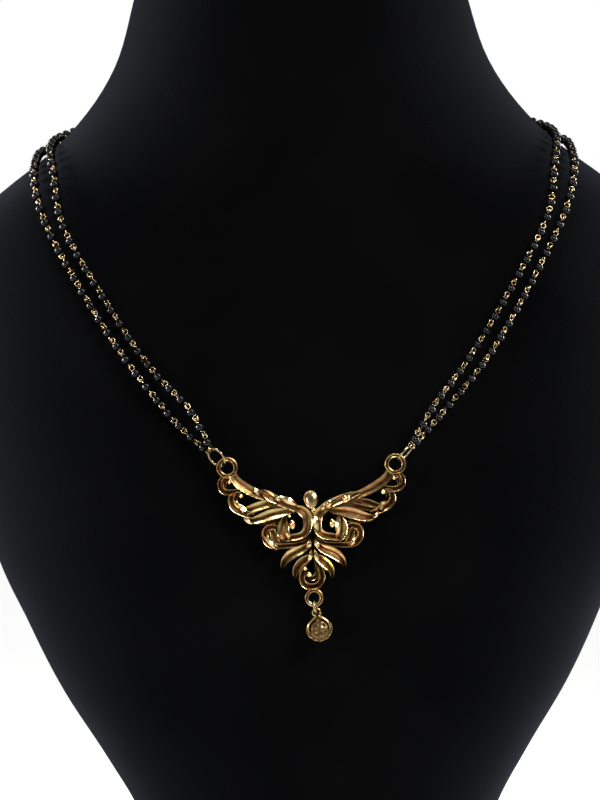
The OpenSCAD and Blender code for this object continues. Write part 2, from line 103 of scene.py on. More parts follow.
def cut(place, normal):
    """In edit mode, cuts the whole mesh along a plane."""
    bpy.ops.mesh.select_all(action="SELECT")
    bpy.ops.mesh.bisect(plane_co=place, plane_no=normal)


# Points closer than the first are merged, and within the second one counts as at a place
MERGED = 0.001
NEAR = 0.01


def seal():
    """In edit mode, merges what meets at seams and poles and turns the faces outwards."""
    bpy.ops.mesh.select_all(action="SELECT")
    bpy.ops.mesh.remove_doubles(threshold=MERGED)
    bpy.ops.mesh.normals_make_consistent(inside=False)


def moved(piece, place):
    """Moves a piece's mesh, in millimetres."""
    piece.data.transform(Matrix.Translation(place))


def swung(piece, degrees, axis):
    """Turns a piece's mesh about an axis through its origin."""
    piece.data.transform(Matrix.Rotation(math.radians(degrees), 4, axis))


def apply(piece, kind, **settings):
    """Adds a modifier with its settings and applies it."""
    only(piece)
    modifier = piece.modifiers.new(kind.lower(), kind)
    for name, value in settings.items():
        setattr(modifier, name, value)
    bpy.ops.object.modifier_apply(modifier=modifier.name)
    return piece


def copied(piece, name):
    """A copy of a piece, with a mesh of its own."""
    copy = piece.copy()
    copy.data = piece.data.copy()
    copy.name = copy.data.name = name
    bpy.context.scene.collection.objects.link(copy)
    return copy


def joined(name, pieces):
    """One piece of several, each left as it is."""
    only(*pieces)
    bpy.ops.object.join()
    return added(name)


def dropped(*pieces):
    """Takes away pieces that were only needed to make others."""
    for piece in pieces:
        bpy.data.objects.remove(piece)


def fused(name, pieces):
    """Unites overlapping solids into one, as metal that is cast or soldered."""
    parts = bpy.data.collections.new(name)
    for piece in pieces[1:]:
        parts.objects.link(piece)
    apply(
        pieces[0], "BOOLEAN", operation="UNION", solver="MANIFOLD", operand_type="COLLECTION",
        collection=parts,
    )
    dropped(*pieces[1:])
    bpy.data.collections.remove(parts)
    only(pieces[0])
    return added(name)


def smooth(piece, degrees):
    """Shades a piece smooth, but for edges sharper than this."""
    only(piece)
    bpy.ops.object.shade_smooth_by_angle(angle=math.radians(degrees))


def settle(piece, place, material, slot, *stands_for):
    """Puts a finished piece at its place in the frame, with its finish."""
    piece.data.transform(Matrix.Scale(MM, 4) @ place)
    piece.data.materials.clear()
    piece.data.materials.append(material)
    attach(piece, "root")
    if stands_for:
        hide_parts(*stands_for)
    return piece


# Finishes
def linear(code):
    """An sRGB hex colour as the linear colour that a shader takes."""
    parts = [int(code[i:i + 2], 16) / 255 for i in (1, 3, 5)]
    return [c / 12.92 if c <= 0.04045 else ((c + 0.055) / 1.055) ** 2.4 for c in parts] + [1]


def feed(tree, node, inputs):
    """Sets or links a node's inputs."""
    for name, value in inputs.items():
        if isinstance(value, bpy.types.NodeSocket):
            tree.links.new(value, node.inputs[name])
        else:
            node.inputs[name].default_value = value


def add(tree, kind, inputs=None, **settings):
    """Adds a shader node with its settings and inputs."""
    node = tree.nodes.new("ShaderNode" + kind)
    for name, value in settings.items():
        setattr(node, name, value)
    feed(tree, node, inputs or {})
    return node


def shaded(name):
    """A new material: its node tree and its surface shader."""
    material = bpy.data.materials.new(name)
    material.use_nodes = True
    tree = material.node_tree
    return material, tree, tree.nodes["Principled BSDF"]


def noise(tree, place, size_mm, detail, warp=0):
    """Patches of this size, from 0 to 1. The coordinates are in metres."""
    scale = 1 / (size_mm * MM)
    inputs = {"Vector": place, "Scale": scale, "Detail": detail, "Distortion": warp}
    return add(tree, "TexNoise", inputs).outputs["Fac"]


def ranged(tree, value, start, end, low=0, high=1, **settings):
    """Goes from low to high while a value goes from start to end."""
    inputs = {"Value": value, "From Min": start, "From Max": end, "To Min": low, "To Max": high}
    return add(tree, "MapRange", inputs, **settings).outputs["Result"]


def ramp(tree, share, first, *rest):
    """The colour at a share, through stops of (share, colour) from the lowest to the highest."""
    node = add(tree, "ValToRGB", {"Fac": share})
    elements = node.color_ramp.elements
    *between, last = rest
    for element, (position, code) in zip(elements, (first, last)):
        element.position = position
        element.color = linear(code)
    for position, code in between:
        elements.new(position).color = linear(code)
    return node.outputs["Color"]


def blended(tree, share, one, other, kind="MIX"):
    """A mix of two colours: inputs 0, 6 and 7 are the share and the colours, output 2 the mix."""
    inputs = {0: share, 6: one, 7: other}
    return add(tree, "Mix", inputs, data_type="RGBA", blend_type=kind).outputs[2]


def bump(tree, height, deep_mm, strength):
    """The normal of a skin that rises and falls with a pattern."""
    inputs = {"Height": height, "Distance": deep_mm * MM, "Strength": strength}
    return add(tree, "Bump", inputs).outputs["Normal"]


def gold_casting():
    # Gold-plated brass, cast and then burnished by hand. Its colour is painted darker with depth
    # from the front: painted shade, browner and near black in the hollows and pale on the raised
    # rims. It is redder here and greener there with the alloy, and has soft dents from the wax.
    material, tree, surface = shaded("gold_plated_casting")
    place = add(tree, "TexCoord").outputs["Object"]
    depth = add(tree, "SeparateXYZ", {"Vector": place}).outputs["Y"]
    # Share of depth from the front into the hollows: it sets the painted shade and the roughness
    height = ranged(tree, depth, (PENDANT_Y - 0.4) * MM, (PENDANT_Y - 2.0) * MM)
    patches = add(tree, "Math", {0: noise(tree, place, 3, 2), 1: 0.5}, operation="SUBTRACT")
    uneven = add(
        tree, "Math", {0: patches.outputs[0], 1: 0.5, 2: height}, operation="MULTIPLY_ADD"
    ).outputs[0]
    # Painted shade: the colour darkens from the raised rims into the hollows, unevenly in patches
    painted_depth_shade = ramp(tree, uneven, (0.05, "#2C1A0E"), (0.4, "#806746"), (0.85, "#D2BD98"))
    alloy = ramp(tree, noise(tree, place, 2.2, 1, 0.6), (0.38, "#FFE2D2"), (0.62, "#F6FFDE"))
    feed(tree, surface, {
        "Base Color": blended(tree, 1.0, painted_depth_shade, alloy, "MULTIPLY"),
        "Roughness": ranged(tree, height, 0.2, 0.8, 0.32, 0.18),
        "Normal": bump(tree, noise(tree, place, 1.2, 1), 0.15, 0.45),
        "Metallic": 1,
    })
    return material


def gold_stamping(middle):
    # Gold-plated brass stamping: the dome beaten and left matt, speckled and brown, its rim and
    # straps rubbed bright. Middle is the dome's place in the frame, in millimetres.
    material, tree, surface = shaded("gold_plated_stamping")
    place = add(tree, "TexCoord").outputs["Object"]
    away = add(tree, "VectorMath", {0: place, 1: middle * MM}, operation="DISTANCE")
    beaten = ranged(tree, away.outputs["Value"], 2.6 * MM, 3.1 * MM, 1, 0)
    specks = noise(tree, place, 0.5, 3)
    brown = ramp(tree, specks, (0.35, "#3A2818"), (0.7, "#77603E"))
    feed(tree, surface, {
        "Base Color": blended(tree, beaten, linear("#98804F"), brown),
        "Roughness": ranged(tree, beaten, 0, 1, 0.22, 0.36),
        "Normal": bump(tree, specks, 0.06, 0.5),
        "Metallic": 1,
    })
    return material


def gold_wire():
    # Gold-plated brass wire, drawn and tumbled: smooth and bright, with faint uneven handling.
    material, tree, surface = shaded("gold_plated_wire")
    patches = noise(tree, add(tree, "TexCoord").outputs["Object"], 2, 2)
    feed(tree, surface, {
        "Base Color": ramp(tree, patches, (0.35, "#857250"), (0.7, "#A69272")),
        "Roughness": ranged(tree, patches, 0.3, 0.7, 0.14, 0.24),
        "Normal": bump(tree, patches, 0.04, 0.4),
        "Metallic": 1,
    })
    return material


def bead_glass():
    # Black glass, wound and fire-polished: opaque and smooth, with a slight ripple in its skin
    # and small sharp glints on an otherwise dark gloss.
    material, tree, surface = shaded("fire_polished_black_glass")
    ripple = noise(tree, add(tree, "TexCoord").outputs["Object"], 1.4, 2)
    feed(tree, surface, {
        "Base Color": ramp(tree, ripple, (0, "#020203"), (1, "#060608")),
        "Roughness": ranged(tree, ripple, 0.3, 0.7, 0.03, 0.06),
        "Normal": bump(tree, ripple, 0.02, 0.3),
        "IOR": 1.52,
        "Specular IOR Level": 0.16,
    })
    return material


def velvet():
    # Cotton velvet glued over a moulded form: a black pile half a millimetre deep that swallows
    # light face on and shows a cool sheen where it is seen along the pile, brushed in patches.
    material, tree, surface = shaded("black_cotton_velvet")
    place = add(tree, "TexCoord").outputs["Object"]
    feed(tree, surface, {
        "Base Color": ramp(tree, noise(tree, place, 40, 3), (0.35, "#020202"), (0.7, "#040404")),
        "Normal": bump(tree, noise(tree, place, 0.6, 3), 0.2, 0.6),
        "Roughness": 0.85,
        "Specular IOR Level": 0,
        "Sheen Weight": 0.09,
        "Sheen Roughness": 0.5,
        "Sheen Tint": linear("#8C90A0"),
    })
    return material


def table_top():
    # White acrylic photo table, satin. Its top glows by emission with no lamp below it: a painted
    # glow, weak in front and strongest behind the object
    material, tree, surface = shaded("white_acrylic_table")
    place = add(tree, "TexCoord").outputs["Object"]
    back = add(tree, "SeparateXYZ", {"Vector": place}).outputs["Y"]
    feed(tree, surface, {
        "Base Color": linear("#C8C8C6"),
        "Roughness": 0.6,
        "Emission Color": linear("#FFFFFF"),
        # Painted glow: the emission strength rises from in front of the object to behind it
        "Emission Strength": ranged(
            tree, back, -0.25, 0.05, 0.2, 0.85, interpolation_type="SMOOTHSTEP"
        ),
    })
    return material


casting = gold_casting()
wire = gold_wire()
glass = bead_glass()
black_velvet = velvet()


# Places read from the CAD
def solids(node):
    """The points of each separate solid in a CAD node, in millimetres."""
    mesh = nodes[node].data
    places = np.empty(len(mesh.vertices) * 3)
    mesh.vertices.foreach_get("co", places)
    corners = np.empty(len(mesh.loops), int)
    mesh.loops.foreach_get("vertex_index", corners)
    places, same = np.unique(places.reshape(-1, 3).round(8), axis=0, return_inverse=True)
    corners = same.ravel()[corners].reshape(-1, 3)
    # Triangles hand their lowest group number on to all their corners until nothing changes
    group = np.arange(len(places))
    while True:
        lowest = group[corners].min(axis=1)
        joined_up = group.copy()
        for k in range(3):
            np.minimum.at(joined_up, corners[:, k], lowest)
        joined_up = joined_up[joined_up]
        if (joined_up == group).all():
            break
        group = joined_up
    return [places[group == k] / MM for k in np.unique(group)]


def lie_of(points):
    """Middle of a solid, and its own axes from the longest to the thinnest."""
    spread = points - points.mean(axis=0)
    axes = np.linalg.eigh(spread.T @ spread)[1][:, ::-1]
    along = points @ axes
    middle = axes @ (along.min(axis=0) + along.max(axis=0)) / 2
    return Vector(middle), [Vector(axes[:, k]) for k in range(3)]


def facing(middle, x, y, z):
    """The place of a shape whose own axes run along three directions."""
    place = Matrix((x, y, z)).transposed().to_4x4()
    place.translation = middle
    return place


# Bust: the CAD's form, merged and smoothed, in velvet
QUAD_TURN = 0.8


def bust():
    """The bust in velvet. The CAD node itself stays as it is."""
    piece = copied(nodes["neck_bust"], "velvet_bust")
    for key in list(piece.keys()):
        del piece[key]
    piece.parent = None
    open_mesh(piece)
    bpy.ops.mesh.remove_doubles(threshold=NEAR * MM)
    bpy.ops.mesh.tris_convert_to_quads(face_threshold=QUAD_TURN, shape_threshold=QUAD_TURN)
    close_mesh()
    apply(piece, "SUBSURF", levels=1, render_levels=1)
    only(piece)
    bpy.ops.object.shade_smooth()
    piece.data.transform(Matrix.Scale(1 / MM, 4))
    return settle(piece, Matrix(), black_velvet, "velvet", "neck_bust")


bust()


# Rings of wire: width from middle to middle of the wire, and the wire's thickness
JUMP_RING = (5.7, 0.66)
DROP_RING = (3.3, 0.8)
END_RING = (3.0, 0.66)


def ring(name, across, thick, turn=0, gap=0.05, sides=14, steps=56):
    """A ring of round wire in the XY plane, bent round until its ends all but meet."""
    bpy.ops.mesh.primitive_circle_add(
        vertices=sides, radius=thick / 2, fill_type="NGON", location=(across / 2, 0, 0),
        rotation=(math.pi / 2, 0, 0),
    )
    piece = added(name)
    bpy.ops.object.transform_apply(location=True, rotation=True, scale=True)
    open_mesh(piece)
    bent_round = 2 * math.pi - 2 * gap / across
    bpy.ops.mesh.spin(steps=steps, angle=bent_round, center=(0, 0, 0), axis=(0, 0, 1))
    bpy.ops.mesh.select_all(action="SELECT")
    bpy.ops.mesh.normals_make_consistent(inside=False)
    close_mesh()
    swung(piece, turn, "Z")
    smooth(piece, 50)
    return piece


def wire_ring(node, size, turn):
    """A ring in place of the CAD's, its gap turned by this much."""
    middle, axes = lie_of(solids(node)[0])
    piece = ring(node + "_wire", *size, turn=turn)
    open_mesh(piece)
    bpy.ops.mesh.flip_normals()  # the recalculation takes so open a ring inside out
    close_mesh()
    settle(piece, facing(middle, *axes), wire, "wire_gold", node)


for node, size, turn in (
    ("left_jump_ring", JUMP_RING, 200), ("right_jump_ring", JUMP_RING, 200),
    ("drop_ring", DROP_RING, 90), ("left_end_ring", END_RING, 60), ("right_end_ring", END_RING, 60),
):
    wire_ring(node, size, turn)


# Strands: a round bead on each eye pin, and each pin's eyes hooked through its neighbours'.
# These shapes repeat more than a hundred times each, so they have few faces.
EYE_SPAN = 3.81
EYE_R = 0.70
EYE_ROUND = 312
EYE_NECK = 0.3
EYE_STEPS = 12
PIN_WIRE = 0.38
PIN_SIDES = 6
PIN_TURN = 96
LINK_STEP = 0.84
BEAD_D = 2.8
BEAD_L = 1.83
BEAD_HOLE = 0.70
BEAD_SIDES = 12
BEAD_EDGE = 8
BEAD_CLEAR = 0.1


def bead():
    """A rondelle bead, its hole along Z."""
    bpy.ops.mesh.primitive_circle_add(
        vertices=BEAD_EDGE, radius=BEAD_L / 2, location=(BEAD_D / 2 - BEAD_L / 2, 0, 0),
        rotation=(math.pi / 2, 0, 0),
    )
    piece = added("bead")
    bpy.ops.object.transform_apply(location=True, rotation=True, scale=True)
    open_mesh(piece)
    bpy.ops.mesh.bisect(
        plane_co=(BEAD_HOLE / 2, 0, 0), plane_no=(-1, 0, 0), clear_outer=True, use_fill=False
    )
    pick(piece, lambda co: co.x < BEAD_HOLE / 2 + MERGED)
    bpy.ops.mesh.edge_face_add()
    bpy.ops.mesh.select_all(action="SELECT")
    bpy.ops.mesh.spin(steps=BEAD_SIDES, angle=2 * math.pi, center=(0, 0, 0), axis=(0, 0, 1))
    seal()
    close_mesh()
    smooth(piece, 60)
    return piece


def eye_pin():
    """A wire bent into an eye at each end of a straight stem along Z, the eyes in the XZ plane."""
    lean = math.asin(EYE_NECK / (EYE_R + EYE_NECK))
    start = Vector((EYE_R * math.sin(lean), 0, EYE_SPAN / 2 - EYE_R * math.cos(lean)))
    bpy.ops.mesh.primitive_circle_add(
        vertices=PIN_SIDES, radius=PIN_WIRE / 2, fill_type="NGON", location=start,
        rotation=(0, math.pi / 2 - lean, 0),
    )
    piece = added("eye_pin")
    bpy.ops.object.transform_apply(location=True, rotation=True, scale=True)
    open_mesh(piece)
    # Round the eye, then back to the first section and down through the neck to the stem
    eye_middle = (0, 0, EYE_SPAN / 2)
    bpy.ops.mesh.spin(
        steps=EYE_STEPS, angle=-math.radians(EYE_ROUND), center=eye_middle, axis=(0, 1, 0)
    )
    pick(piece, lambda co: (co - start).length < PIN_WIRE / 2 + NEAR)
    neck = start + Vector((math.sin(lean), 0, -math.cos(lean))) * EYE_NECK
    bpy.ops.mesh.spin(steps=2, angle=-(math.pi / 2 - lean), center=neck, axis=(0, 1, 0))
    low = neck.z
    pick(piece, lambda co: abs(co.z - low) < NEAR and abs(co.x) < PIN_WIRE)
    bpy.ops.mesh.extrude_region_move(TRANSFORM_OT_translate={"value": (0, 0, -low)})
    bpy.ops.mesh.delete(type="ONLY_FACE")
    close_mesh()
    other = copied(piece, "other_half")
    swung(other, 180, "Y")
    piece = joined("eye_pin", [piece, other])
    open_mesh(piece)
    seal()
    close_mesh()
    smooth(piece, 70)
    return piece


one_bead = bead()
one_pin = eye_pin()


def strung(name, one, places, material, slot, *stands_for):
    """One piece made of a copy of a shape at each place."""
    copies = []
    for place in places:
        copy = copied(one, name)
        copy.data.transform(place)
        copies.append(copy)
    return settle(joined(name, copies), Matrix(), material, slot, *stands_for)


def pin_places(side, row):
    """Places of the strand's pins, in order from the jump ring."""
    found = []
    for points in solids(f"{side}_{row}_eye_pins"):
        middle, (along, across, over) = lie_of(points)
        found.append((middle, along, across, over))
    found.sort(key=lambda f: f[0].z)
    places = []
    for middle, along, across, over in found:
        if along.z < 0:
            along = -along
        places.append(facing(middle, over.cross(along), over, along))
    return places


# Behind the neck each strand reaches its end ring at an angle of its own. The line of its middle
# is read from the CAD in steps.
WAY = {"left": -1, "right": 1}
END_SPREAD = {"inner": 42, "outer": -42}
LINE_STEP = 2.4


def back_line(side, row, start):
    """Middle line of the hidden stretch, from the last front pin to the end ring."""
    points = solids(f"{side}_{row}_back_strand")[0]
    line = [start]
    while len(points):
        near = points[np.linalg.norm(points - np.array(line[-1]), axis=1).argmin()]
        around = np.linalg.norm(points - near, axis=1) < LINE_STEP
        line.append(Vector(points[around].mean(axis=0)))
        points = points[~around]
    ring_middle = lie_of(solids(f"{side}_end_ring")[0])[0]
    turn = math.radians(END_SPREAD[row])
    out = Vector((WAY[side] * math.cos(turn), 0, math.sin(turn)))
    line.append(ring_middle + out * END_RING[0] / 2)
    return line


def along_line(line, length):
    """The place this far along a line of points."""
    for a, b in zip(line, line[1:]):
        step = (b - a).length
        if length <= step:
            return a + (b - a) * (length / step)
        length -= step
    return line[-1]


def back_places(side, row, last):
    """Places of the pins behind the neck, going on from the last front pin to the end ring."""
    start = last.translation + last.col[2].xyz * EYE_SPAN / 2
    line = back_line(side, row, start)
    total = sum((b - a).length for a, b in zip(line, line[1:]))
    count = math.ceil(total / (EYE_SPAN + LINK_STEP))
    link = total / count - EYE_SPAN
    turn = math.radians(END_SPREAD[row])
    ring_way = Vector((-WAY[side] * math.sin(turn), 0, math.cos(turn)))
    ends = []
    for k in range(count):
        s = link + k * (EYE_SPAN + link)
        ends.append((along_line(line, s), along_line(line, s + EYE_SPAN)))
    # Each pin is turned from the last, so that the final eye faces along the end ring's wire
    overs, over = [], last.col[1].xyz
    for a, b in ends:
        along = (b - a).normalized()
        over = (over - along * over.dot(along)).normalized()
        over = Matrix.Rotation(math.radians(PIN_TURN), 3, along) @ over
        overs.append(over)
    along = (ends[-1][1] - ends[-1][0]).normalized()
    aim = (ring_way - along * ring_way.dot(along)).normalized()
    miss = math.atan2(overs[-1].cross(aim).dot(along), overs[-1].dot(aim))
    miss -= math.pi * round(miss / math.pi)
    places = []
    for k, ((a, b), over) in enumerate(zip(ends, overs)):
        along = (b - a).normalized()
        over = Matrix.Rotation(miss * (k + 1) / count, 3, along) @ over
        places.append(facing((a + b) / 2, over.cross(along), over, along))
    return places


taken = []
for side in ("left", "right"):
    for row in ("inner", "outer"):
        strand = f"{side}_{row}"
        back = strand + "_back_strand"
        places = pin_places(side, row)
        strung(strand + "_pin_string", one_pin, places, wire, "wire_gold", strand + "_eye_pins")
        strung(strand + "_bead_string", one_bead, places, glass, "bead_glass", strand + "_beads")
        hidden = back_places(side, row, places[-1])
        strung(strand + "_back_pin_string", one_pin, hidden, wire, "wire_gold", back)
        # Bare pins where the two strands close up on the end ring
        beaded = [
            place for place in hidden[:-1]
            if all((place.translation - other).length > BEAD_D + BEAD_CLEAR for other in taken)
        ]
        taken += [place.translation for place in beaded]
        strung(strand + "_back_bead_string", one_bead, beaded, glass, "bead_glass", back)

dropped(one_bead, one_pin)


# Pendant. Its own frame has X across, Y up from the side eyelets and Z out from the back.
SPAN = 45.4
DROP = 35.6
PLATE_T = 1.7
EYELET_T = 1.0
SIDE_EYE = (5.9, 3.3)
LOW_EYE = (5.1, 2.9)
ON_PENDANT = Matrix.Translation((0, PENDANT_Y, PENDANT_Z)) @ Matrix.Rotation(math.pi / 2, 4, "X")

# A strip's sections from end to end, its narrowest width, and the share of its taper that also
# lowers it: the rest only narrows it
STATIONS = 22
NARROWEST = 0.1
LOWERS = 0.3


def drawn(across, down, rise=0):
    """A place on the pendant, from shares of half the span across and of the drop down."""
    return Vector((across * SPAN / 2, -down * DROP, rise))


def blank(name, rows):
    """A straight strip one long, to be bent. rows gives its top from one edge to the middle:
    [share of the half width, share of the height]."""
    bpy.ops.mesh.primitive_cube_add(size=1, location=(0.5, 0, 0.5), scale=(1, 2, 1))
    piece = added(name)
    bpy.ops.object.transform_apply(location=True, rotation=True, scale=True)
    open_mesh(piece)
    for k in range(1, STATIONS):
        cut((k / STATIONS, 0, 0), (1, 0, 0))
    for share, height in rows:
        if share < 1:
            cut((0, share, 0), (0, 1, 0))
        if 0 < share < 1:
            cut((0, -share, 0), (0, 1, 0))
    for share, height in rows:
        pick(piece, lambda co: abs(abs(co.y) - share) < MERGED and co.z > NEAR)
        bpy.ops.transform.translate(value=(0, 0, height - 1))
    close_mesh()
    return piece


def swell(widths, shares, share):
    """Width at a share of a line's length, passing smoothly through the listed widths."""
    q = float(np.interp(share, shares, range(len(widths))))
    i = min(int(q), len(widths) - 2)
    f = q - i
    a, b = widths[i], widths[i + 1]
    lead = (b - widths[i - 1]) / 2 if i > 0 else b - a
    tail = (widths[i + 2] - a) / 2 if i + 2 < len(widths) else b - a
    leaving = a * (1 + 2 * f) * (1 - f) ** 2 + lead * f * (1 - f) ** 2
    value = leaving + b * f * f * (3 - 2 * f) - tail * f * f * (1 - f)
    return max(value, NARROWEST)


def bent(strip, name, line, widths, height):
    """A copy of a strip bent along a smooth line, swelling and tapering with its widths."""
    points = [drawn(across, down) for across, down in line]
    run = np.cumsum([0] + [(b - a).length for a, b in zip(points, points[1:])])
    widest = max(widths)
    piece = copied(strip, name)
    open_mesh(piece)
    for k in range(STATIONS + 1):
        share = k / STATIONS
        narrow = (swell(widths, run / run[-1], share) / widest) ** (1 - LOWERS)
        pick(piece, lambda co: abs(co.x - share) < 0.1 / STATIONS)
        bpy.ops.transform.resize(value=(1, narrow, 1), center_override=(share, 0, 0))
    close_mesh()
    piece.data.transform(Matrix.Diagonal((1, 1, height / (widest / 2), 1)))

    bpy.ops.curve.primitive_bezier_curve_add()
    path = added("line")
    path.data.twist_mode = "Z_UP"
    path.data.use_stretch = True
    path.data.use_deform_bounds = True
    path.data.resolution_u = 16
    spline = path.data.splines[0]
    spline.radius_interpolation = "CARDINAL"
    spline.bezier_points.add(len(line) - 2)
    for point, place, width in zip(spline.bezier_points, points, widths):
        point.co = place
        point.radius = widest / 2 * (width / widest) ** LOWERS
        point.handle_left_type = point.handle_right_type = "AUTO"
    path.matrix_world = Matrix()
    apply(piece, "CURVE", object=path, deform_axis="POS_X")
    dropped(path)
    return piece


# Sections of the strips. A channel is scooped to a line between two thin raised rims, a cut has
# two flat facets that meet on its middle, a band is softly rounded, and a plate is plain.
STRIPS = {
    "channel": blank("channel", [
        (1, 0.72), (0.96, 0.92), (0.90, 1), (0.83, 0.98), (0.76, 0.84), (0.38, 0.63), (0, 0.42),
    ]),
    "cut": blank("cut", [(1, 0.78), (0.93, 0.87), (0, 1)]),
    "band": blank("band", [(1, 0.55), (0.94, 0.74), (0.8, 0.88), (0.5, 0.97), (0, 1)]),
    "plate": blank("plate", [(1, 0.8), (0.8, 1), (0, 1)]),
}

